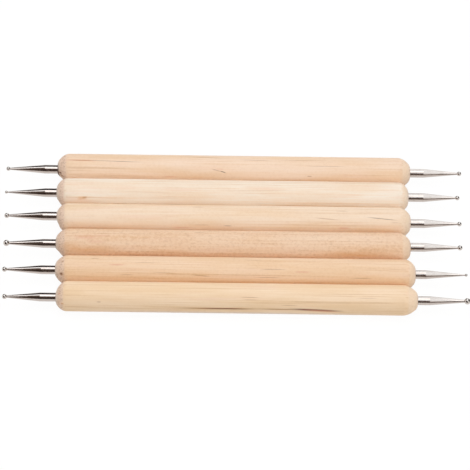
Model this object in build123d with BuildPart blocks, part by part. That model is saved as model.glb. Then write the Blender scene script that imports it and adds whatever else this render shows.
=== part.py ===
from build123d import *
from math import atan2, cos, hypot, radians, sin, sqrt, tan
import os

os.makedirs("parts", exist_ok=True)

# A set of double-ended embossing styluses, lying side by side on a table.
# +X runs along the handles, +Y away from the viewer, +Z up. Tool 1 is the furthest away.
# The origin is the middle of the set's footprint, on the table. All lengths are in millimetres.

# Wooden handle
handle_length = 100.0
# The blanks are sawn by hand, so each handle is a little longer or shorter than the nominal one.
handle_length_shares = (1.006, 0.998, 0.998, 0.9945, 1.004, 1.003)
handle_diameter = 8.65
# Dowels as they come from the mill, each a little thicker or thinner
handle_diameter_shares = (0.998, 1.007, 1.007, 1.026, 0.990, 0.978)
nose_depth = 2.15           # how far the bevel at each end reaches along the handle
land_width = 0.89           # flat ring of end grain outside the needle's shoulder
land_round_share = 0.27     # share of the bevel taken by the rounding next to the land
barrel_round_share = 0.45   # share of the bevel taken by the rounding next to the barrel
# Noses are sanded by hand, so each bevel is a little longer or shorter than the nominal one.
left_nose_shares = (0.98, 0.86, 0.86, 1.04, 1.06, 0.84)
right_nose_shares = (1.04, 0.82, 1.00, 1.05, 0.84, 1.25)

# Steel needle: tang glued in the handle, straight shank, cone, neck
shank_diameter = 2.5
tang_diameter = 2.1
tang_length = 13.0
tang_bevel = 0.3
glue_film = 0.03            # radial room for glue round the tang
bore_floor_gap = 0.5        # room for spare glue behind the tang
drill_point_angle = 118.0   # full angle of the drill's point, in degrees
# The bores are drilled by eye, so each lies off the handle's axis by a share of the wander.
drill_wander = 0.5
wander_angle = 36.0         # its direction at rest: away from the viewer, raised by this many degrees
left_wander_shares = (-0.42, 0.29, 1.33, 0.28, 0.21, -0.68)
right_wander_shares = (0.0, 0.24, -0.22, 0.80, 0.20, 0.0)

# How far each point stands out of its handle, and how much of that is straight shank
needle_reach = 14.7
left_reach_shares = (0.999, 1.001, 1.007, 1.003, 1.010, 1.013)
right_reach_shares = (0.997, 0.990, 0.983, 0.992, 0.988, 0.995)
straight_shank = 4.0
left_straight_shares = (0.900, 0.800, 0.975, 0.875, 0.975, 1.080)
right_straight_shares = (0.955, 1.050, 0.950, 0.950, 0.710, 0.825)

# Ball and neck diameters of the five grades of point in the set
fine_ball = 0.85
fine_neck = 0.38
small_ball = 1.2
small_neck = 0.62
medium_ball = 1.3
medium_neck = 0.64
large_ball = 1.45
large_neck = 0.70
broad_ball = 1.8
broad_neck = 0.84

# Weld between neck and ball, as shares of the ring of ball that shows round the neck
collar_height_share = 0.36
collar_length_share = 0.50

# Row on the table
row_gap = 0.10              # air between two handles
slip = 1.0                  # tools lie out of line lengthways by shares of this
slip_shares = (-0.34, -0.63, -0.22, -0.25, 0.45, 0.94)

cut_overrun = 1.0           # a cutting shape runs this far past the face that it cuts

# Grades of point, from tool 1 to tool 6
fine = (fine_ball, fine_neck)
small = (small_ball, small_neck)
medium = (medium_ball, medium_neck)
large = (large_ball, large_neck)
broad = (broad_ball, broad_neck)
left_points = (small, fine, large, broad, large, large)
right_points = (medium, medium, medium, large, fine, broad)

# Sizes that follow from the ones above
handle_radii = [handle_diameter * share / 2 for share in handle_diameter_shares]
shank_radius = shank_diameter / 2
tang_radius = tang_diameter / 2
land_radius = shank_radius + land_width
bore_radius = tang_radius + glue_film
bore_depth = tang_length + bore_floor_gap
bore_point = bore_radius / tan(radians(drill_point_angle / 2))
tool_count = len(slip_shares)
half_lengths = [handle_length * share / 2 for share in handle_length_shares]
left_reaches = [needle_reach * share for share in left_reach_shares]
right_reaches = [needle_reach * share for share in right_reach_shares]
slips = [slip * share for share in slip_shares]
left_wanders = [drill_wander * share for share in left_wander_shares]
right_wanders = [drill_wander * share for share in right_wander_shares]

# The row is moved along X until the furthest balls on both sides are equally far from the origin.
left_extreme = min(s - half - reach for s, half, reach in zip(slips, half_lengths, left_reaches))
right_extreme = max(s + half + reach for s, half, reach in zip(slips, half_lengths, right_reaches))
row_shift = -(left_extreme + right_extreme) / 2

# Handles rest on the table, so the air between two axes depends on both radii. The row is then
# moved along Y until its two long sides are equally far from the origin.
row_depths = [0]
for near, far in zip(handle_radii[1:], handle_radii):
    row_depths.append(row_depths[-1] + sqrt((near + far + row_gap) ** 2 - (near - far) ** 2))
row_middle = (row_depths[-1] + handle_radii[-1] - handle_radii[0]) / 2
row_places = [row_middle - depth for depth in row_depths]


def tool_centre(index):
    """Middle of a handle's axis, as (x, y, z)."""
    return (slips[index] + row_shift, row_places[index], handle_radii[index])


def end_plane(index, side, wander):
    """Plane through a bore's axis, with its origin in the handle's face and local X pointing out."""
    x, y, z = tool_centre(index)
    away = wander * cos(radians(wander_angle))
    up = wander * sin(radians(wander_angle))
    face = (x + side * half_lengths[index], y + away, z + up)
    return Plane(origin=face, x_dir=(side, 0, 0), z_dir=(0, -side, 0))


def axis_of(plane):
    return Axis(plane.origin, plane.x_dir)


def corner_radii(nose, rise):
    """Rounding radii beside the land and beside the barrel, from the run of bevel that each may take."""
    bevel = hypot(nose, rise)
    land_turn = atan2(nose, rise)
    barrel_turn = atan2(rise, nose)
    land_round = land_round_share * bevel / tan(land_turn / 2)
    barrel_round = barrel_round_share * bevel / tan(barrel_turn / 2)
    return land_round, barrel_round


def make_handle(index, bore_planes):
    handle_radius = handle_radii[index]
    rise = handle_radius - land_radius
    left_nose = nose_depth * left_nose_shares[index]
    right_nose = nose_depth * right_nose_shares[index]
    left_land_round, left_barrel_round = corner_radii(left_nose, rise)
    right_land_round, right_barrel_round = corner_radii(right_nose, rise)
    half = half_lengths[index]
    centre = Plane(origin=tool_centre(index), x_dir=(1, 0, 0), z_dir=(0, -1, 0))

    with BuildPart() as handle:
        # Turned outside: land, rounded bevel, straight barrel, and the same again
        with BuildSketch(centre):
            with BuildLine():
                outside = FilletPolyline(
                    (-half, 0),
                    (-half, land_radius),
                    (-half + left_nose, handle_radius),
                    (half - right_nose, handle_radius),
                    (half, land_radius),
                    (half, 0),
                    radius=[left_land_round, left_barrel_round, right_barrel_round, right_land_round],
                )
                Line(outside @ 1, outside @ 0)
            make_face()
        revolve(axis=axis_of(centre))

        # Blind bore from each end, with the floor that a twist drill leaves
        for plane in bore_planes:
            with BuildSketch(plane):
                with BuildLine():
                    Polyline(
                        (cut_overrun, 0),
                        (cut_overrun, bore_radius),
                        (-bore_depth, bore_radius),
                        (-bore_depth - bore_point, 0),
                        close=True,
                    )
                make_face()
            revolve(axis=axis_of(plane), mode=Mode.SUBTRACT)
    return handle


def point_layout(reach, grade):
    """Weld start, ball seat and ball centre, measured from the handle's face, and the seat's radius."""
    ball_radius = grade[0] / 2
    neck_radius = grade[1] / 2
    ring = ball_radius - neck_radius
    seat_radius = neck_radius + collar_height_share * ring
    ball_centre = reach - ball_radius
    seat = ball_centre - sqrt(ball_radius**2 - seat_radius**2)
    weld_start = seat - collar_length_share * ring
    return weld_start, seat, ball_centre, seat_radius


def make_needle(plane, reach, straight, grade):
    neck_radius = grade[1] / 2
    weld_start, seat, ball_centre, seat_radius = point_layout(reach, grade)

    with BuildPart() as needle:
        with BuildSketch(plane):
            with BuildLine():
                # Tang with a bevelled end, shoulder on the handle's land, straight shank, crease,
                # cone, and the weld's collar that flares from the neck to the ball's flat
                Polyline(
                    (seat, 0),
                    (-tang_length, 0),
                    (-tang_length, tang_radius - tang_bevel),
                    (-tang_length + tang_bevel, tang_radius),
                    (0, tang_radius),
                    (0, shank_radius),
                    (straight, shank_radius),
                    (weld_start, neck_radius),
                    (seat, seat_radius),
                    close=True,
                )
            make_face()
        revolve(axis=axis_of(plane))
    return needle


def make_ball(plane, reach, grade):
    ball_radius = grade[0] / 2
    weld_start, seat, ball_centre, seat_radius = point_layout(reach, grade)

    with BuildPart() as ball:
        # A sphere with one small flat, where the needle is welded on
        with BuildSketch(plane):
            with BuildLine():
                ThreePointArc((seat, seat_radius), (ball_centre, ball_radius), (reach, 0))
                Polyline((reach, 0), (seat, 0), (seat, seat_radius))
            make_face()
        revolve(axis=axis_of(plane))
    return ball


def save(piece, name):
    piece.part.label = name
    export_step(piece.part, f"parts/{name}.step")


sides = (
    ("left", left_points, left_reaches, left_straight_shares),
    ("right", right_points, right_reaches, right_straight_shares),
)

for index in range(tool_count):
    tool = f"stylus_{index + 1}"
    bore_planes = (end_plane(index, -1, left_wanders[index]), end_plane(index, 1, right_wanders[index]))
    save(make_handle(index, bore_planes), f"{tool}_handle")
    for plane, (side_name, points, reaches, straight_shares) in zip(bore_planes, sides):
        straight = straight_shank * straight_shares[index]
        needle = make_needle(plane, reaches[index], straight, points[index])
        ball = make_ball(plane, reaches[index], points[index])
        save(needle, f"{tool}_{side_name}_needle")
        save(ball, f"{tool}_{side_name}_ball")
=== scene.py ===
from math import atan2, cos, degrees, hypot, pi, radians, sin, sqrt, tan

import bmesh
import bpy
from mathutils import Matrix, Vector


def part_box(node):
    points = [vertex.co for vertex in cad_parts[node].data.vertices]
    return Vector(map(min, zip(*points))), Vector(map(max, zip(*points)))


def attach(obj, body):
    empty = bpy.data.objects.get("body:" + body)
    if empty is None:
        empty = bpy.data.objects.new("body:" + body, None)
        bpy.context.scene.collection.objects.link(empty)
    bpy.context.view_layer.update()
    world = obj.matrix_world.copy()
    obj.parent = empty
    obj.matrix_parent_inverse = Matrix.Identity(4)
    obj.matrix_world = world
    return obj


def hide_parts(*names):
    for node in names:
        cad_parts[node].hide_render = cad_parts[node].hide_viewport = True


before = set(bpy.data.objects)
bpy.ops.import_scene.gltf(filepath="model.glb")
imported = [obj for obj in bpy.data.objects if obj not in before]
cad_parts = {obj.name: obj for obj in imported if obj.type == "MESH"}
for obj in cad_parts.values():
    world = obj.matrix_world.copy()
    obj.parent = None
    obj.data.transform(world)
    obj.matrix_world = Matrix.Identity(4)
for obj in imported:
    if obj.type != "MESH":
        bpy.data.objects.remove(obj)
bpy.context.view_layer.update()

mm = 0.001
same = 1e-7             # metres; corners closer than this are one
sides = {"left": -1, "right": 1}


# Camera, from the line-up of handles and balls with the photograph
camera = {
    "distance": 817.6,              # mm from the middle of the row
    "elevation": 54.5,              # degrees above the table
    "roll": 0.75,                   # degrees; right-hand ends come out lower
    "lens": 222.7,                  # mm
    "sensor": 36,                   # mm wide
    "middle": (0, 0, 4.375),        # mm, the point that the distance is measured from
    "aim": (0.03, -0.60, 4.375),    # mm, the point in the middle of the picture
    "clip": (0.05, 20),             # metres, the nearest and the furthest that it sees
}


def placeCamera():
    tilt = radians(camera["elevation"])
    bpy.ops.object.camera_add()
    eye = bpy.context.object
    eye.name = "viewpoint"
    eye.data.lens = camera["lens"]
    eye.data.sensor_width = camera["sensor"]
    eye.data.clip_start, eye.data.clip_end = camera["clip"]
    back = Vector((0, -cos(tilt), sin(tilt)))
    eye.location = (Vector(camera["middle"]) + back * camera["distance"]) * mm
    aim = Vector(camera["aim"]) * mm
    looking = (aim - eye.location).to_track_quat("-Z", "Y").to_matrix().to_4x4()
    turn = looking @ Matrix.Rotation(radians(camera["roll"]), 4, "Z")
    eye.rotation_euler = turn.to_euler()
    bpy.context.scene.camera = eye


# Node trees

class Wire:
    # one socket of a node tree; sums and products of wires add their own Math nodes
    def __init__(self, sheet, socket):
        self.sheet = sheet
        self.socket = socket

    def maths(self, operation, *values, clamp=False):
        settings = {"operation": operation, "use_clamp": clamp}
        return self.sheet.node("Math", settings, dict(enumerate(values)))

    def __add__(self, other):
        return self.maths("ADD", self, other)

    def __radd__(self, other):
        return self.maths("ADD", other, self)

    def __sub__(self, other):
        return self.maths("SUBTRACT", self, other)

    def __rsub__(self, other):
        return self.maths("SUBTRACT", other, self)

    def __mul__(self, other):
        return self.maths("MULTIPLY", self, other)

    def __rmul__(self, other):
        return self.maths("MULTIPLY", other, self)

    def __truediv__(self, other):
        return self.maths("DIVIDE", self, other)

    def __pow__(self, other):
        return self.maths("POWER", self, other)

    def __abs__(self):
        return self.maths("ABSOLUTE", self)

    def held(self):
        # kept between 0 and 1
        return self.maths("ADD", self, 0.0, clamp=True)

    def over(self, other):
        return self.maths("MAXIMUM", self, other)

    def ramp(self, low, high):
        # 0 below low, 1 above high, eased between them
        settings = {"interpolation_type": "SMOOTHSTEP"}
        return self.sheet.node("MapRange", settings, {"Value": self, "From Min": low, "From Max": high})

    def layer(self, recipe):
        # recipe: where a ramp starts and ends, and the strength that it reaches
        low, high, strength = recipe
        return self.ramp(low, high) * strength


class Sheet:
    # a node tree in the making
    def __init__(self, owner):
        owner.use_nodes = True
        self.tree = owner.node_tree
        self.tree.nodes.clear()

    def node(self, kind, settings=None, inputs=None, output=0):
        made = self.tree.nodes.new("ShaderNode" + kind)
        for key, value in (settings or {}).items():
            setattr(made, key, value)
        for key, value in (inputs or {}).items():
            if isinstance(value, Wire):
                self.tree.links.new(value.socket, made.inputs[key])
            else:
                made.inputs[key].default_value = value
        return Wire(self, made.outputs[output]) if made.outputs else None

    def blend(self, first, second, factor):
        # the colour first, covered by the colour second as much as factor says
        return self.node("Mix", {"data_type": "RGBA"}, {0: factor, 6: first, 7: second}, output=2)

    def millimetres(self, middle):
        # place on the piece in millimetres from a point of it
        place = self.node("TexCoord", output="Object")
        inputs = {"Vector": place, "Location": -middle / mm, "Scale": (1 / mm,) * 3}
        return self.node("Mapping", {}, inputs)

    def split(self, place):
        parts = self.node("SeparateXYZ", {}, {0: place})
        return [Wire(self, socket) for socket in parts.socket.node.outputs]

    def noise(self, place, recipe, shift=0):
        # recipe: grain to the millimetre along X, Y and Z, detail, roughness, and a shift of its own
        stretch, detail, roughness, start = recipe
        seat = self.node("Mapping", {}, {
            "Vector": place, "Location": (start + shift,) * 3, "Scale": stretch})
        return self.node("TexNoise", {}, {
            "Vector": seat, "Scale": 1.0, "Detail": detail, "Roughness": roughness})

    def finish(self, tone, rough, relief, bumpStrength, bumpDepth, extra):
        # the material's shader and output; the bump's depth is in mm
        bump = self.node("Bump", {}, {
            "Strength": bumpStrength, "Distance": bumpDepth * mm, "Height": relief})
        shader = self.node("BsdfPrincipled", {}, {
            "Base Color": tone, "Roughness": rough, "Normal": bump, **extra})
        self.node("OutputMaterial", {}, {"Surface": shader})


def colour(red, green, blue):
    # a colour as a screen shows it, from 0 to 255, turned to the renderer's linear values
    shares = [value / 255 for value in (red, green, blue)]
    linear = [s / 12.92 if s <= 0.04045 else ((s + 0.055) / 1.055) ** 2.4 for s in shares]
    return (*linear, 1.0)


# Modelling helpers

def clearSelection():
    if bpy.context.object and bpy.context.object.mode != "OBJECT":
        bpy.ops.object.mode_set(mode="OBJECT")
    bpy.ops.object.select_all(action="DESELECT")


def takeUp(piece):
    # makes the piece the only one that the next operators work on
    clearSelection()
    bpy.context.view_layer.objects.active = piece
    piece.select_set(True)


def fixPlace(piece, name):
    # leaves the piece's object at the origin, with its place in its mesh
    bpy.ops.object.transform_apply(location=True, rotation=True, scale=True)
    piece.name = name
    piece.data.name = name


def startRod(name, start, length, radius, segments):
    # a plain rod along X, from the point start
    clearSelection()
    bpy.ops.mesh.primitive_cylinder_add(
        vertices=segments, radius=radius, depth=abs(length), end_fill_type="NGON",
        location=start + Vector((length / 2, 0, 0)), rotation=(0, pi / 2, 0))
    rod = bpy.context.object
    fixPlace(rod, name)
    return rod


def startPicking(kind):
    bpy.ops.object.mode_set(mode="EDIT")
    bpy.ops.mesh.select_mode(type=kind)
    bpy.ops.mesh.select_all(action="DESELECT")


def pickEnd(piece, side):
    # the flat faces that look along X to that side
    square = 0.999
    startPicking("FACE")
    mesh = bmesh.from_edit_mesh(piece.data)
    for face in mesh.faces:
        face.select_set(face.normal.x * side > square)
    bmesh.update_edit_mesh(piece.data)


def pickEdges(piece, test):
    startPicking("EDGE")
    mesh = bmesh.from_edit_mesh(piece.data)
    for edge in mesh.edges:
        edge.select_set(test(*[corner.co for corner in edge.verts]))
    bmesh.update_edit_mesh(piece.data)


def pickRing(piece, x):
    # the ring of edges round the rod at one place along it
    near = 1e-6
    pickEdges(piece, lambda a, b: abs(a.x - x) < near and abs(b.x - x) < near)


def pickedFace(piece):
    return next(face for face in bmesh.from_edit_mesh(piece.data).faces if face.select)


def drawOut(axis, x, grow):
    # extrudes the picked end face to the place x, and makes it larger or smaller
    now = pickedFace(bpy.context.object).calc_center_median().x
    bpy.ops.mesh.extrude_region_move(TRANSFORM_OT_translate={"value": (x - now, 0, 0)})
    bpy.ops.transform.resize(value=(1, grow, grow), center_override=(x, axis.y, axis.z))


def finishMesh(angle):
    # closes seams, turns normals outwards, and shades smooth up to an angle in degrees
    bpy.ops.object.mode_set(mode="EDIT")
    bpy.ops.mesh.select_all(action="SELECT")
    bpy.ops.mesh.remove_doubles(threshold=same)
    bpy.ops.mesh.normals_make_consistent(inside=False)
    bpy.ops.object.mode_set(mode="OBJECT")
    bpy.ops.object.shade_smooth_by_angle(angle=radians(angle))


def dress(piece, material):
    piece.data.materials.clear()
    piece.data.materials.append(material)


def needleAxis(number, name):
    # where a needle's axis meets the end face of its handle
    low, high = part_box(f"stylus_{number}_{name}_needle")
    faceLow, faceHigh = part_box(f"stylus_{number}_handle")
    x = faceLow.x if name == "left" else faceHigh.x
    return Vector((x, (low.y + high.y) / 2, (low.z + high.z) / 2))


# Wooden handles

handle = {
    "segments": 96,
    "barrelRings": 24,
    "smoothAngle": 40,          # degrees; sharper edges stay crisp
    "noseDepth": 2.15,          # mm that the bevel at each end reaches along the handle
    "leftNoses": (0.98, 0.86, 0.86, 1.04, 1.06, 0.84),     # shares of the nose depth, sanded by hand
    "rightNoses": (1.04, 0.82, 1.00, 1.05, 0.84, 1.25),
    "landRadius": 2.14,         # mm, flat end grain with the needle's shoulder on it
    "shoulderRoom": 1.35,       # mm from the axis, flat wood left for the needle's shoulder
    "landRound": 0.27,          # shares of the bevel taken by its two roundings, and their steps
    "landSteps": 6,
    "barrelRound": 0.45,
    "barrelSteps": 8,
    "handwork": 0.05,           # mm that sanding by hand takes off unevenly at the noses
    "handworkSize": 3.1,        # mm across one hollow
    "handworkReach": 6,         # mm from each end over which it fades to that of the barrel
    "handworkBarrel": 0.12,     # share of it left on the barrel
    # mm that each left nose is sanded back on one side, and degrees round from the viewer's side
    "leftSlants": ((0.60, -35), (0.42, -35), (0.60, -35), (0.80, -35), (0.33, -35), (0.33, 145)),
    "slantReach": 2,            # mm past the bevel that a slant can reach
    "slantFocus": 1.5,          # the higher, the narrower the side that it takes
}

bore = {
    "segments": 48,
    "radius": 1.08,             # mm
    "depth": 13.5,              # mm
    "angle": 118.0,             # degrees, the full angle of the drill's point
    "tip": 0.02,                # share of the radius left at the point
    "overrun": 1.0,             # mm that the drill stands out of the wood
}


def turnNose(piece, middle, faceX, side, nose, radius):
    # a bevel with both edges rounded, and a flat inside for the needle's shoulder
    land = handle["landRadius"] * mm
    bevel = hypot(nose, radius - land)
    pickEnd(piece, side)
    drawOut(middle, faceX, land / radius)
    pickRing(piece, faceX)
    bpy.ops.mesh.bevel(offset=handle["landRound"] * bevel, segments=handle["landSteps"])
    pickRing(piece, faceX - side * nose)
    bpy.ops.mesh.bevel(offset=handle["barrelRound"] * bevel, segments=handle["barrelSteps"])
    pickEnd(piece, side)
    face = pickedFace(piece)
    wide = (face.verts[0].co - face.calc_center_median()).length
    bpy.ops.mesh.inset(thickness=wide - handle["shoulderRoom"] * mm)


def ringBarrel(piece, barrel):
    # cuts the long edges of the barrel, so that the sanding has corners to move
    nearly = 0.8
    pickEdges(piece, lambda a, b: abs(a.x - b.x) > barrel * nearly)
    bpy.ops.mesh.subdivide(number_cuts=handle["barrelRings"])
    bpy.ops.object.mode_set(mode="OBJECT")


def sandByHand(piece, low, high):
    # unevenness that only takes wood away, most of all near the ends
    barrelShare = handle["handworkBarrel"]
    worn = piece.vertex_groups.new(name="worn")
    for corner in piece.data.vertices:
        fromEnd = min(corner.co.x - low.x, high.x - corner.co.x) / mm
        near = max(0.0, 1 - fromEnd / handle["handworkReach"])
        worn.add([corner.index], barrelShare + (1 - barrelShare) * near, "REPLACE")
    clouds = bpy.data.textures.new("handwork", "CLOUDS")
    clouds.noise_scale = handle["handworkSize"] * mm
    clouds.noise_depth = 1
    bpy.ops.object.modifier_add(type="DISPLACE")
    sanding = piece.modifiers[-1]
    sanding.texture = clouds
    sanding.texture_coords = "LOCAL"
    sanding.vertex_group = "worn"
    sanding.strength = handle["handwork"] * mm
    sanding.mid_level = 1.0
    bpy.ops.object.modifier_apply(modifier=sanding.name)


def slantNose(piece, index, middle, seat, nose):
    # a nose held askew to the sander comes out shorter on one side
    depth, around = handle["leftSlants"][index]
    reach = nose + handle["slantReach"] * mm
    askew = piece.vertex_groups.new(name="askew")
    for corner in piece.data.vertices:
        if corner.co.x > seat.x + reach:
            continue
        off = corner.co - middle
        facing = cos(atan2(off.z, -off.y) - radians(around))
        room = hypot(corner.co.y - seat.y, corner.co.z - seat.z) / mm - handle["shoulderRoom"]
        share = min(1.0, max(0.0, room)) * (0.5 + 0.5 * facing) ** handle["slantFocus"]
        askew.add([corner.index], share, "REPLACE")
    bpy.ops.object.modifier_add(type="DISPLACE")
    slant = piece.modifiers[-1]
    slant.direction = "X"
    slant.vertex_group = "askew"
    slant.strength = depth * mm
    slant.mid_level = 0.0
    bpy.ops.object.modifier_apply(modifier=slant.name)


def drillBore(piece, seat, side):
    # cuts a twist drill out of the wood: a rod with a blunt point
    radius = bore["radius"] * mm
    depth = bore["depth"] * mm
    overrun = bore["overrun"] * mm
    start = seat + Vector((side * overrun, 0, 0))
    drill = startRod("drill", start, -side * (depth + overrun), radius, bore["segments"])
    point = radius / tan(radians(bore["angle"] / 2))
    pickEnd(drill, -side)
    drawOut(seat, seat.x - side * (depth + point), bore["tip"])
    takeUp(piece)
    bpy.ops.object.modifier_add(type="BOOLEAN")
    cut = piece.modifiers[-1]
    cut.operation = "DIFFERENCE"
    cut.solver = "EXACT"
    cut.object = drill
    bpy.ops.object.modifier_apply(modifier=cut.name)
    bpy.data.objects.remove(drill)


def turnHandle(index):
    number = index + 1
    low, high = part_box(f"stylus_{number}_handle")
    middle = (low + high) / 2
    radius = min(high.y - low.y, high.z - low.z) / 2
    noses = {name: handle["noseDepth"] * handle[f"{name}Noses"][index] * mm for name in sides}
    seats = {name: needleAxis(number, name) for name in sides}
    start = Vector((low.x + noses["left"], middle.y, middle.z))
    barrel = high.x - low.x - noses["left"] - noses["right"]
    piece = startRod(f"birchHandle{number}", start, barrel, radius, handle["segments"])
    for name, side in sides.items():
        turnNose(piece, middle, seats[name].x, side, noses[name], radius)
    ringBarrel(piece, barrel)
    sandByHand(piece, low, high)
    slantNose(piece, index, middle, seats["left"], noses["left"])
    for name, side in sides.items():
        drillBore(piece, seats[name], side)
    finishMesh(handle["smoothAngle"])
    dress(piece, birch(index, middle, radius, noses, seats))
    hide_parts(f"stylus_{number}_handle")
    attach(piece, f"stylus_{number}")


# Tones of the six handles, as on a screen, how strongly they are flecked, mm of painted gap shadow round
# the left needle, and the marks that can be told apart. A mark is: tint, mm from the handle's middle,
# degrees round from the viewer's side, length and width in mm, strength, and degrees that it climbs for
# each mm.
# Where marks meet, the tint that comes first in the list lies below.
woods = (
    {"pale": (252, 227, 206), "warm": (240, 203, 162), "flecks": 0.10, "glue": 0.80, "marks": (
        ("rose", -43.5, 88.0, 12.0, 0.70, 0.70, -0.30),
        ("brown", -43.5, 87.5, 9.0, 0.34, 0.60, -0.30),
        ("dark", -34.0, 86.0, 19.0, 0.34, 0.55, -0.30),
        ("brown", -8.0, 112, 18.0, 0.40, 0.55, -0.75),
        ("brown", 6.5, 99, 12.0, 0.35, 0.50, -0.45),
        ("dark", -3.1, 49, 2.2, 0.35, 0.95, -4.0),
        ("brown", -5.0, 55, 3.4, 0.45, 0.60, -3.5),
        ("rose", -4.0, 58, 3.6, 0.80, 0.16, -2.0),
        ("rose", -18.0, 27, 5.0, 0.60, 0.45, 0),
        ("brown", 19.5, 101, 18.0, 0.40, 0.35, 0.2),
        ("brown", 26.5, 75, 13.0, 0.40, 0.45, 0.15),
        ("brown", 21.5, 36, 1.8, 0.45, 0.60, 0),
        ("dark", -49.5, 28, 1.3, 1.30, 1.00, 0),
        ("brown", -49.0, 14, 1.8, 1.00, 0.90, 0),
    )},
    {"pale": (255, 245, 233), "warm": (245, 214, 180), "flecks": 0.06, "glue": 0.12, "marks": (
        ("amber", -42.4, 37, 3.6, 1.50, 0.50, 1.5),
        ("brown", -41.8, 39, 1.8, 0.80, 0.42, 1.5),
        ("brown", 8.0, 74, 26.0, 0.35, 0.22, 0.3),
        ("brown", -24.0, 62, 21.0, 0.35, 0.20, -0.3),
    )},
    {"pale": (252, 231, 210), "warm": (242, 208, 168), "flecks": 0.10, "glue": 0.28, "marks": (
        ("brown", -10.0, 113, 4.4, 0.55, 0.40, 0),
        ("dark", -1.6, 35, 2.8, 0.36, 0.70, 0),
        ("brown", -9.0, 37, 6.0, 0.45, 0.30, 0),
        ("rose", -14.5, 26, 7.0, 0.50, 0.50, 0),
        ("brown", 30.5, 100, 4.5, 0.36, 0.55, 0),
        ("brown", 26.0, 66, 8.0, 0.36, 0.60, -1.0),
        ("dark", 41.6, 69, 10.5, 0.36, 0.70, -1.2),
        ("brown", 45.3, 55, 3.0, 0.32, 0.45, 0),
        ("rose", 31.0, 32, 4.5, 1.30, 0.38, 0),
    )},
    {"pale": (247, 218, 192), "warm": (231, 185, 139), "flecks": 0.30, "glue": 0.22, "marks": (
        ("rose", -41.0, 82, 9.0, 2.20, 0.30, 0),
        ("rose", -36.0, 90, 5.0, 1.20, 0.25, 0),
        ("rose", -38.5, 66, 7.0, 1.60, 0.22, 0),
        ("amber", -40.0, 38, 22.0, 3.00, 0.36, 0),
        ("amber", -45.5, 52, 7.0, 3.00, 0.26, 0),
        ("brown", -9.4, 111, 4.2, 0.50, 0.45, 0),
        ("amber", -18.0, 34, 14.0, 1.60, 0.30, 0),
        ("amber", 34.0, 30, 26.0, 2.60, 0.45, 0),
    )},
    {"pale": (250, 221, 193), "warm": (237, 195, 146), "flecks": 0.12, "glue": 0.15, "marks": (
        ("brown", -39.0, 109, 3.2, 0.50, 0.50, 0),
        ("rose", -32.8, 80, 5.6, 0.80, 0.48, 0),
        ("brown", -25.0, 90, 9.0, 0.32, 0.45, 0),
        ("brown", -30.0, 42, 4.6, 0.40, 0.45, 0),
        ("brown", -19.5, 51, 9.0, 0.32, 0.45, -0.6),
        ("brown", -9.5, 42, 6.5, 0.50, 0.50, -1.1),
        ("brown", 4.8, 111, 7.0, 0.36, 0.45, 0),
        ("brown", 10.5, 69, 8.5, 0.50, 0.50, 0),
        ("rose", 18.6, 61, 5.5, 0.70, 0.42, 0),
        ("brown", 9.0, 38, 9.0, 0.40, 0.45, 0),
        ("brown", 35.0, 40, 7.0, 0.40, 0.45, 0),
        ("dark", -48.3, 40, 0.9, 0.80, 0.90, 0),
        ("brown", -48.2, 40, 1.9, 1.80, 0.60, 0),
        ("brown", -48.0, 94, 1.0, 1.00, 0.60, 0),
    )},
    {"pale": (254, 229, 201), "warm": (239, 204, 158), "flecks": 0.05, "glue": 0.15, "marks": (
        # painted light: a pale band along the bottom, for light that the floor throws up
        ("paleRimAndPaintedBounce", 0.0, -20, 99.0, 2.60, 0.85, 0),
        ("brown", -38.0, 35, 1.6, 0.50, 0.55, 0),
        ("brown", 3.6, 60, 6.8, 0.34, 0.60, 0),
        ("brown", 3.6, 51, 5.7, 0.34, 0.35, 0),
        ("brown", 36.0, 62, 7.0, 0.34, 0.40, 0),
        ("brown", 14.6, 31, 5.7, 0.34, 0.40, 0),
        ("brown", -5.0, 12, 28.0, 0.90, 0.85, 0),
        ("dark", -3.5, 12, 15.0, 0.70, 0.75, 0),
        ("brown", 12.0, 12, 15.0, 0.75, 0.70, 0),
        ("rose", 23.0, 7, 13.0, 1.20, 0.70, -0.7),
        ("dark", 22.0, 10, 17.0, 1.10, 1.30, -0.6),
        ("rose", -49.0, 67, 0.7, 0.80, 0.80, 0),
        ("amber", -48.1, 24, 1.2, 1.00, 0.60, 0),
    )},
)

woodTints = {
    "brown": colour(178, 128, 82),
    "dark": colour(116, 68, 42),
    "rose": colour(228, 164, 134),
    "amber": colour(226, 168, 106),
    "blush": colour(248, 214, 192),
    "shadedLeftEnds": colour(247, 220, 202),      # end grain, seen on the noses; the left ends' darker tone is painted shade, the right ends' paler one painted light from the right
    "litRightEnds": colour(253, 230, 206),
    "endPores": colour(152, 110, 80),
    "paleRimAndPaintedBounce": colour(240, 226, 216),           # pale grey next to the end faces; on the sixth handle also painted light, a pale band along its bottom for light thrown up by the floor
    # painted shadow of the gap round each needle's shoulder
    "glue": colour(96, 62, 42),
}

# Noises are as Sheet.noise takes them, layers as Wire.layer does, here and for the steel.
woodNoises = {
    "tone": ((0.035, 0.32, 0.32), 3, 0.55, 0),      # slow change along the handle
    "pink": ((0.06, 0.45, 0.45), 2, 0.5, 11),
    "grain": ((0.018, 2.1, 2.1), 4, 0.6, 23),       # growth lines
    "fibre": ((0.13, 5.5, 5.5), 3, 0.6, 31),
    "rays": ((1.3, 1.7, 1.7), 3, 0.65, 43),         # short flecks, hardly longer than wide
    "pores": ((2.0, 2.8, 2.8), 3, 0.70, 57),        # of the end grain
    "sanded": ((0.7, 4.2, 4.2), 2, 0.6, 71),        # marks of sandpaper on the noses
}
woodShift = 37.0                # between the noises of one handle and the next
sandingTurn = (0, 0.9, 0.5)     # radians that the sandpaper's marks are turned from the grain

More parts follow.
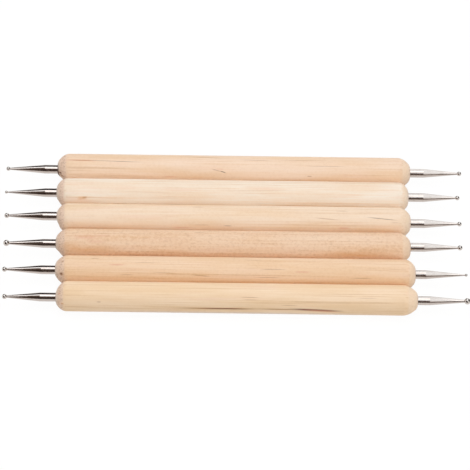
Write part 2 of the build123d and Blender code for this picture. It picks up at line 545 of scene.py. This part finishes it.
woodLayers = {
    "warm": (0.34, 0.72, 0.55),
    "blush": (0.52, 0.74, 0.35),
    "grainLines": (0.48, 0.64, 0.36),
    "fibreLines": (0.50, 0.72, 0.34),
    "lateGrain": (0.585, 0.63, 0.20),
    "lateFibre": (0.34, 0.56, 1.0),
    "darkFlecks": (0.49, 0.68, 0.6),
    "paleFlecks": (0.48, 0.66, 1.9),
    "pores": (0.47, 0.66, 0.40),
    "sanded": (0.48, 0.68, 0.36),
    "fray": (0.3, 0.6, 0.6),
}

woodSurface = {
    "rough": 0.56,
    "fibreRough": 0.16,         # added by the fibre
    "endRough": 0.12,           # added on the end grain
    "fibreRelief": 0.4,         # shares of the bump
    "grainRelief": 0.6,
    "endRelief": 0.9,
    "bump": 0.4,
    "bumpDepth": 0.08,          # mm
}

markEdges = {
    "fade": 0.8,                # share of its half length over which a mark fades out at each end
    "least": 0.62,              # share of it that the fibre leaves everywhere; the layer "fray" is added
}

# Pairs are for the left and the right end; the left ends' stronger end grain and specks are painted
# shade.
endGrain = {
    "spill": (0.45, 0.10),      # mm past the bevel
    "strength": (0.85, 0.65),
    "specks": (1.0, 0.30),      # strength of the pores and of the sandpaper's marks
    "paleRim": (0.75, 0.50),       # strength of the pale band next to the end face
    "paleRimReach": 1.0,           # mm from the end face
    "paleRimFade": 0.8,            # mm
    "fade": (-0.35, 0.40),      # mm outside and inside its border
    "ragged": 0.9,              # mm that the fibre moves the border
}

# Painted shadow of the gap between a nose and its needle's shoulder
glueRing = {
    "start": 1.34,              # mm from the needle's axis, just outside its shoulder
    "right": 0.15,              # mm wide at the right end; the left widths stand with the woods
    "ragged": 0.6,              # mm that the fibre moves its border
    "fade": 0.25,               # mm
    "reach": 1.2,               # mm along the handle from the end face
    "reachFade": 0.2,           # mm
    "strength": 0.9,
}


def growWood(sheet, look, noises):
    # slow change of tone, growth lines, fine fibre, and short flecks that stand across the grain
    grain, fibre, rays = noises["grain"], noises["fibre"], noises["rays"]
    pale, warm = colour(*look["pale"]), colour(*look["warm"])
    base = sheet.blend(pale, warm, noises["tone"].layer(woodLayers["warm"]))
    base = sheet.blend(base, woodTints["blush"], noises["pink"].layer(woodLayers["blush"]))
    lines = grain.layer(woodLayers["grainLines"]) + fibre.layer(woodLayers["fibreLines"])
    base = sheet.blend(base, warm, lines.held())
    late = grain.layer(woodLayers["lateGrain"]) * fibre.layer(woodLayers["lateFibre"])
    base = sheet.blend(base, woodTints["brown"], late)
    darkFlecks = rays.layer(woodLayers["darkFlecks"]) * look["flecks"]
    base = sheet.blend(base, woodTints["brown"], darkFlecks)
    paleFlecks = (1 - rays).layer(woodLayers["paleFlecks"]) * look["flecks"]
    return sheet.blend(base, pale, paleFlecks)


def addEndGrain(sheet, base, noises, x, half, noses):
    # rough end grain on the noses, and how much of it there is at each place
    isRight = x.ramp(-1, 1)

    def bySide(left, right):
        return isRight * (right - left) + left

    spillLeft, spillRight = endGrain["spill"]
    border = bySide(noses["left"] / mm + spillLeft, noses["right"] / mm + spillRight)
    ragged = (noises["fibre"] - 0.5) * endGrain["ragged"]
    fromFace = half - abs(x)
    ends = (border + ragged - fromFace).ramp(*endGrain["fade"])
    specks = noises["pores"].layer(woodLayers["pores"]) + noises["sanded"].layer(woodLayers["sanded"])
    specks = specks * bySide(*endGrain["specks"])
    paleRim = (endGrain["paleRimReach"] - fromFace).ramp(0, endGrain["paleRimFade"])
    paleRim = paleRim * bySide(*endGrain["paleRim"])
    # painted shade: the left ends take a darker tone than the right ones, which are painted lit
    tone = sheet.blend(woodTints["shadedLeftEnds"], woodTints["litRightEnds"], isRight)
    tone = sheet.blend(tone, woodTints["endPores"], specks.held())
    tone = sheet.blend(tone, woodTints["paleRimAndPaintedBounce"], paleRim)
    return sheet.blend(base, tone, ends * bySide(*endGrain["strength"])), ends


def addMarks(sheet, base, marks, fibre, x, turn, radius):
    # the named marks, frayed by the fibre; turn is in degrees, the radius in mm
    arc = radians(1) * radius
    sums = {}
    for tint, along, around, length, width, strength, climb in marks:
        away = x - along
        reach = (1 - abs(away) / (length / 2)).ramp(0, markEdges["fade"])
        off = (turn - around - away * climb) * arc
        thin = (1 - abs(off) / (width / 2)).ramp(0, 1)
        mark = reach * thin * strength
        sums[tint] = mark if tint not in sums else sums[tint] + mark
    fray = markEdges["least"] + fibre.layer(woodLayers["fray"])
    for tint, total in sums.items():
        base = sheet.blend(base, woodTints[tint], (total * fray).held())
    return base


def paintGapShadow(sheet, base, fibre, place, offset, width):
    # painted shadow in the gap where the nose meets a needle's shoulder
    x, y, z = place
    fromNeedle = ((y - offset.y) ** 2 + (z - offset.z) ** 2) ** 0.5
    nearFace = (glueRing["reach"] - abs(x - offset.x)).ramp(0, glueRing["reachFade"])
    ragged = (fibre - 0.5) * glueRing["ragged"]
    ring = (glueRing["start"] + width + ragged - fromNeedle).ramp(0, glueRing["fade"])
    return sheet.blend(base, woodTints["glue"], ring * nearFace * glueRing["strength"])


def birch(index, middle, radius, noses, seats):
    look = woods[index]
    number = index + 1
    material = bpy.data.materials.new(f"birch{number}")
    sheet = Sheet(material)
    place = sheet.millimetres(middle)
    sandedPlace = sheet.node("Mapping", {}, {"Vector": place, "Rotation": sandingTurn})
    x, y, z = sheet.split(place)
    turn = z.maths("ARCTAN2", z, 0 - y) * degrees(1)
    noises = {}
    for name, recipe in woodNoises.items():
        noises[name] = sheet.noise(sandedPlace if name == "sanded" else place, recipe, woodShift * number)
    fibre = noises["fibre"]

    half = (seats["right"].x - middle.x) / mm
    base = growWood(sheet, look, noises)
    base, ends = addEndGrain(sheet, base, noises, x, half, noses)
    base = addMarks(sheet, base, look["marks"], fibre, x, turn, radius / mm)
    for name, width in (("left", look["glue"]), ("right", glueRing["right"])):
        base = paintGapShadow(sheet, base, fibre, (x, y, z), (seats[name] - middle) / mm, width)

    surface = woodSurface
    rough = surface["rough"] + fibre * surface["fibreRough"] + ends * surface["endRough"]
    relief = fibre * surface["fibreRelief"] + noises["grain"] * surface["grainRelief"]
    relief = relief + (noises["pores"] + noises["sanded"]) * ends * surface["endRelief"]
    sheet.finish(base, rough, relief, surface["bump"], surface["bumpDepth"], {"IOR": 1.45})
    return material


# Points of the tools: ball and neck diameters in mm, and which point sits where

grades = {
    "fine": (0.85, 0.38),
    "small": (1.2, 0.62),
    "medium": (1.3, 0.64),
    "large": (1.45, 0.70),
    "broad": (1.8, 0.84),
}
points = {
    "left": ("small", "fine", "large", "broad", "large", "large"),
    "right": ("medium", "medium", "medium", "large", "fine", "broad"),
}

# Weld's collar, as shares of the ring of ball that shows round the neck
collar = {
    "height": 0.36,
    "length": 0.50,
    "steps": 5,
}


def pointSizes(grade):
    # radii of ball, neck and seat, from the ball's centre to the seat, and from there to the weld's start
    ballRadius, neckRadius = [diameter / 2 * mm for diameter in grades[grade]]
    ring = ballRadius - neckRadius
    seatRadius = neckRadius + collar["height"] * ring
    return {
        "ball": ballRadius,
        "neck": neckRadius,
        "seat": seatRadius,
        "seatDepth": sqrt(ballRadius ** 2 - seatRadius ** 2),
        "collar": collar["length"] * ring,
    }


def ballCentre(number, name, ballRadius):
    low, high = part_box(f"stylus_{number}_{name}_ball")
    return low.x + ballRadius if name == "left" else high.x - ballRadius


# Steel needles

needle = {
    "segments": 64,
    "smoothAngle": 30,          # degrees; sharper edges stay crisp
    "straight": 4.0,            # mm of straight shank, times the shares below
    "leftStraights": (0.900, 0.800, 0.975, 0.875, 0.975, 1.080),
    "rightStraights": (0.955, 1.050, 0.950, 0.950, 0.710, 0.825),
    "tangRadius": 1.05,
    "tangLength": 13.0,
    "tangBevel": 0.3,
}


def grindNeedle(index, name, material):
    number = index + 1
    side = sides[name]
    face = needleAxis(number, name)
    low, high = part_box(f"stylus_{number}_{name}_needle")
    radius = (high.y - low.y) / 2
    straight = needle["straight"] * needle[f"{name}Straights"][index] * mm
    sizes = pointSizes(points[name][index])
    seat = ballCentre(number, name, sizes["ball"]) - side * sizes["seatDepth"]
    weld = seat - side * sizes["collar"]
    piece = startRod(f"{name}Needle{number}", face, side * straight, radius, needle["segments"])

    # cone, then the weld's collar, which flares in a quarter round up to the ball
    pickEnd(piece, side)
    drawOut(face, weld, sizes["neck"] / radius)
    now = sizes["neck"]
    for step in range(1, collar["steps"] + 1):
        turned = step / collar["steps"] * pi / 2
        x = weld + (seat - weld) * sin(turned)
        wide = sizes["neck"] + (sizes["seat"] - sizes["neck"]) * (1 - cos(turned))
        drawOut(face, x, wide / now)
        now = wide

    # shoulder, and the tang that is glued in the bore
    tangRadius = needle["tangRadius"] * mm
    tangEnd = face.x - side * needle["tangLength"] * mm
    bevel = needle["tangBevel"] * mm
    pickEnd(piece, -side)
    bpy.ops.mesh.inset(thickness=radius - tangRadius)
    drawOut(face, tangEnd + side * bevel, 1)
    drawOut(face, tangEnd, (tangRadius - bevel) / tangRadius)

    # the crease where the cone starts stays crisp
    pickRing(piece, face.x + side * straight)
    bpy.ops.mesh.mark_sharp()
    finishMesh(needle["smoothAngle"])
    dress(piece, material)
    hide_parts(f"stylus_{number}_{name}_needle")
    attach(piece, f"stylus_{number}")


groundLook = {
    "tone": (200, 189, 182),
    "smearTone": (184, 172, 164),
    "ringTone": (209, 200, 194),
    "rings": ((9.0, 0.5, 0.5), 4, 0.65, 0),     # fine rings that the wheel leaves round the needle
    "bands": ((2.2, 0.2, 0.2), 2, 0.5, 5),      # deeper ones, here and there
    "smears": ((0.5, 1.4, 1.4), 3, 0.55, 9),
    "smearLayer": (0.4, 0.75, 0.7),
    "ringLayer": (0.5, 0.8, 0.4),
    "rough": 0.07,                              # and what the noises add to it
    "bandRough": (0.35, 0.75, 0.07),
    "ringRough": 0.06,
    "smearRough": 0.03,
    "bump": 0.07,
    "bumpDepth": 0.03,                          # mm
}


def groundSteel():
    look = groundLook
    material = bpy.data.materials.new("groundSteel")
    sheet = Sheet(material)
    place = sheet.millimetres(Vector((0, 0, 0)))
    rings = sheet.noise(place, look["rings"])
    bands = sheet.noise(place, look["bands"])
    smears = sheet.noise(place, look["smears"])
    tone, smearTone, ringTone = [colour(*look[key]) for key in ("tone", "smearTone", "ringTone")]
    tone = sheet.blend(tone, smearTone, smears.layer(look["smearLayer"]))
    tone = sheet.blend(tone, ringTone, rings.layer(look["ringLayer"]))
    rough = look["rough"] + bands.layer(look["bandRough"])
    rough = rough + rings * look["ringRough"] + smears * look["smearRough"]
    relief = (rings + bands) / 2
    sheet.finish(tone, rough, relief, look["bump"], look["bumpDepth"], {"Metallic": 1.0})
    return material


# Balls

ball = {
    "segments": 48,
    "rings": 32,
    "smoothAngle": 40,          # degrees; sharper edges stay crisp
}


def turnBall(grade, material):
    # a sphere round the origin with one small flat, which faces back along X
    sizes = pointSizes(grade)
    clearSelection()
    bpy.ops.mesh.primitive_uv_sphere_add(
        segments=ball["segments"], ring_count=ball["rings"], radius=sizes["ball"],
        rotation=(0, pi / 2, 0))
    pattern = bpy.context.object
    fixPlace(pattern, f"{grade}Ball")
    bpy.ops.object.mode_set(mode="EDIT")
    bpy.ops.mesh.select_all(action="SELECT")
    bpy.ops.mesh.bisect(
        plane_co=(-sizes["seatDepth"], 0, 0), plane_no=(-1, 0, 0), use_fill=True, clear_outer=True,
        threshold=same)
    finishMesh(ball["smoothAngle"])
    dress(pattern, material)
    return pattern


def weldBall(index, name, pattern):
    number = index + 1
    axis = needleAxis(number, name)
    sizes = pointSizes(points[name][index])
    takeUp(pattern)
    bpy.ops.object.duplicate()
    piece = bpy.context.object
    piece.location = (ballCentre(number, name, sizes["ball"]), axis.y, axis.z)
    piece.rotation_euler = (0, 0, pi if name == "left" else 0)
    fixPlace(piece, f"{name}Ball{number}")
    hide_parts(f"stylus_{number}_{name}_ball")
    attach(piece, f"stylus_{number}")


polishedLook = {
    "tone": (206, 197, 191),
    "hazeTone": (190, 180, 172),
    "haze": ((3.0, 3.0, 3.0), 3, 0.6, 0),
    "scratches": ((14.0, 3.0, 5.0), 3, 0.6, 3),
    "hazeLayer": (0.4, 0.75, 0.6),
    "rough": 0.02,              # and what the noises add to it
    "hazeRough": (0.35, 0.7, 0.04),
    "scratchRough": 0.02,
    "bump": 0.06,
    "bumpDepth": 0.01,          # mm
}


def polishedSteel():
    look = polishedLook
    material = bpy.data.materials.new("polishedSteel")
    sheet = Sheet(material)
    place = sheet.millimetres(Vector((0, 0, 0)))
    haze = sheet.noise(place, look["haze"])
    scratches = sheet.noise(place, look["scratches"])
    tone = sheet.blend(colour(*look["tone"]), colour(*look["hazeTone"]), haze.layer(look["hazeLayer"]))
    rough = look["rough"] + haze.layer(look["hazeRough"]) + scratches * look["scratchRough"]
    sheet.finish(tone, rough, scratches, look["bump"], look["bumpDepth"], {"Metallic": 1.0})
    return material


# Studio

studio = {
    "worldLight": 0.50,
    "worldTint": (255, 246, 233),
    "floor": 8.0,               # metres across
    "floorTone": 0.86,          # as the wood sees it
    "floorShade": 0.06,         # share of the floor's white that a shadow can take away
    "floorLit": 0.75,           # share of that which the lamps give back where nothing shades them
}

# Place and size in metres, power in watts, and tint as on a screen
lamps = {
    "softbox": ((0, 0.025, 0.60), (0.15, 0.55), 1.75, (250, 252, 255)),
    "rightFill": ((0.62, -0.34, 0.12), (0.20, 0.20), 0.62, (255, 255, 255)),
    "backFill": ((0, 0.70, 0.25), (0.90, 0.15), 0.35, (255, 255, 255)),
}

# Panels round the table, which show only as reflections: tone as on a screen, brightness, and the
# lowest and highest corner in metres
panels = {
    "overheadLeft": ((250, 252, 255), 2.3, (-0.14, -0.150, 0.60), (0.00, 0.30, 0.60)),
    "overheadRight": ((250, 252, 255), 2.3, (0.00, -0.110, 0.60), (0.14, 0.30, 0.60)),
    "frontDarkLeft": ((88, 74, 66), 1.0, (-2.00, -1.30, 0.00), (0.00, -1.30, 3.20)),
    "frontDarkRight": ((108, 92, 84), 1.0, (0.00, -1.30, 0.00), (0.30, -1.30, 3.20)),
    "frontLow": ((124, 109, 101), 1.0, (0.30, -1.30, 0.00), (0.60, -1.30, 0.55)),
    "frontBlack": ((20, 16, 15), 1.0, (-2.20, -1.25, 0.00), (-0.37, -1.25, 1.80)),
    "frontMiddle": ((12, 10, 9), 1.0, (-0.13, -1.25, 0.00), (0.11, -1.25, 1.15)),
    "leftDark": ((100, 85, 77), 1.0, (-2.00, -1.30, 1.20), (-0.16, 0.06, 1.20)),
    "backDark": ((60, 56, 60), 1.0, (-1.60, 0.90, 0.00), (0.00, 0.90, 1.42)),
    "backPale": ((242, 250, 255), 2.1, (-2.00, 0.25, 1.45), (0.00, 0.90, 1.45)),
    "rightPale": ((242, 250, 255), 1.6, (0.12, -1.00, 1.25), (0.60, 1.40, 1.25)),
    "rightWall": ((242, 250, 255), 1.6, (0.03, 1.40, 0.00), (0.90, 1.40, 1.25)),
    "rightDark": ((14, 13, 12), 1.0, (1.00, -0.40, 0.02), (1.00, 1.60, 2.20)),
}


def whiteRays(sheet):
    # 1 for rays that should meet plain white: the camera's, and those off steel or through glass
    seen = sheet.node("LightPath", output="Is Camera Ray")
    glossy = sheet.node("LightPath", output="Is Glossy Ray")
    passed = sheet.node("LightPath", output="Is Transmission Ray")
    return seen.over(glossy).over(passed)


def buildWorld():
    world = bpy.data.worlds.new("whiteRoom")
    bpy.context.scene.world = world
    sheet = Sheet(world)
    white = whiteRays(sheet)
    strength = white + (1 - white) * studio["worldLight"]
    tint = sheet.blend(colour(*studio["worldTint"]), (1, 1, 1, 1), white)
    light = sheet.node("Background", {}, {"Color": tint, "Strength": strength})
    sheet.node("OutputWorld", {}, {"Surface": light})


def layFloor():
    # white to the camera, but for soft shadows, and plain to the light that falls on the wood
    clearSelection()
    bpy.ops.mesh.primitive_plane_add(size=studio["floor"])
    floor = bpy.context.object
    floor.name = "floor"
    material = bpy.data.materials.new("paleFloor")
    sheet = Sheet(material)
    tone, shade = studio["floorTone"], studio["floorShade"]
    plain = sheet.node("BsdfDiffuse", {}, {"Color": (tone, tone, tone, 1)})
    shaded = sheet.node("BsdfDiffuse", {}, {"Color": (shade, shade, shade, 1)})
    glow = sheet.node("Emission", {}, {
        "Color": (1, 1, 1, 1), "Strength": 1 - shade * studio["floorLit"]})
    lit = sheet.node("AddShader", {}, {0: shaded, 1: glow})
    surface = sheet.node("MixShader", {}, {0: whiteRays(sheet), 1: plain, 2: lit})
    sheet.node("OutputMaterial", {}, {"Surface": surface})
    dress(floor, material)


def addLamp(name, place, size, power, tint):
    clearSelection()
    bpy.ops.object.light_add(type="AREA", location=place)
    lamp = bpy.context.object
    lamp.name = name
    lamp.rotation_euler = (-Vector(place)).to_track_quat("-Z", "Y").to_euler()
    lamp.data.shape = "RECTANGLE"
    lamp.data.size, lamp.data.size_y = size
    lamp.data.energy = power
    lamp.data.color = colour(*tint)[:3]
    lamp.visible_camera = False
    lamp.visible_glossy = False


def hangPanel(name, tone, brightness, low, high):
    material = bpy.data.materials.new(name)
    sheet = Sheet(material)
    surface = sheet.node("Emission", {}, {"Color": colour(*tone), "Strength": brightness})
    sheet.node("OutputMaterial", {}, {"Surface": surface})
    low, high = Vector(low), Vector(high)
    span = high - low
    facing = list(span).index(0)
    turns = ((0, pi / 2, 0), (pi / 2, 0, 0), (0, 0, 0))
    stretches = ((span.z, span.y, 1), (span.x, span.z, 1), (span.x, span.y, 1))
    clearSelection()
    bpy.ops.mesh.primitive_plane_add(size=1, location=(low + high) / 2, rotation=turns[facing])
    panel = bpy.context.object
    panel.scale = stretches[facing]
    panel.name = name
    dress(panel, material)
    panel.visible_camera = False
    panel.visible_diffuse = False
    panel.visible_shadow = False
    panel.visible_transmission = False


def buildStudio():
    buildWorld()
    layFloor()
    for name, settings in lamps.items():
        addLamp(name, *settings)
    for name, settings in panels.items():
        hangPanel(name, *settings)


placeCamera()
print("camera placed")
buildStudio()
print("studio built")
needleSteel = groundSteel()
ballSteel = polishedSteel()
patterns = {grade: turnBall(grade, ballSteel) for grade in grades}
print("balls turned")
for index in range(len(woods)):
    turnHandle(index)
    for name in sides:
        grindNeedle(index, name, needleSteel)
        weldBall(index, name, patterns[points[name][index]])
    print("stylus", index + 1, "made")
for pattern in patterns.values():
    bpy.data.objects.remove(pattern)

clearSelection()
bpy.context.scene.view_settings.view_transform = "Standard"
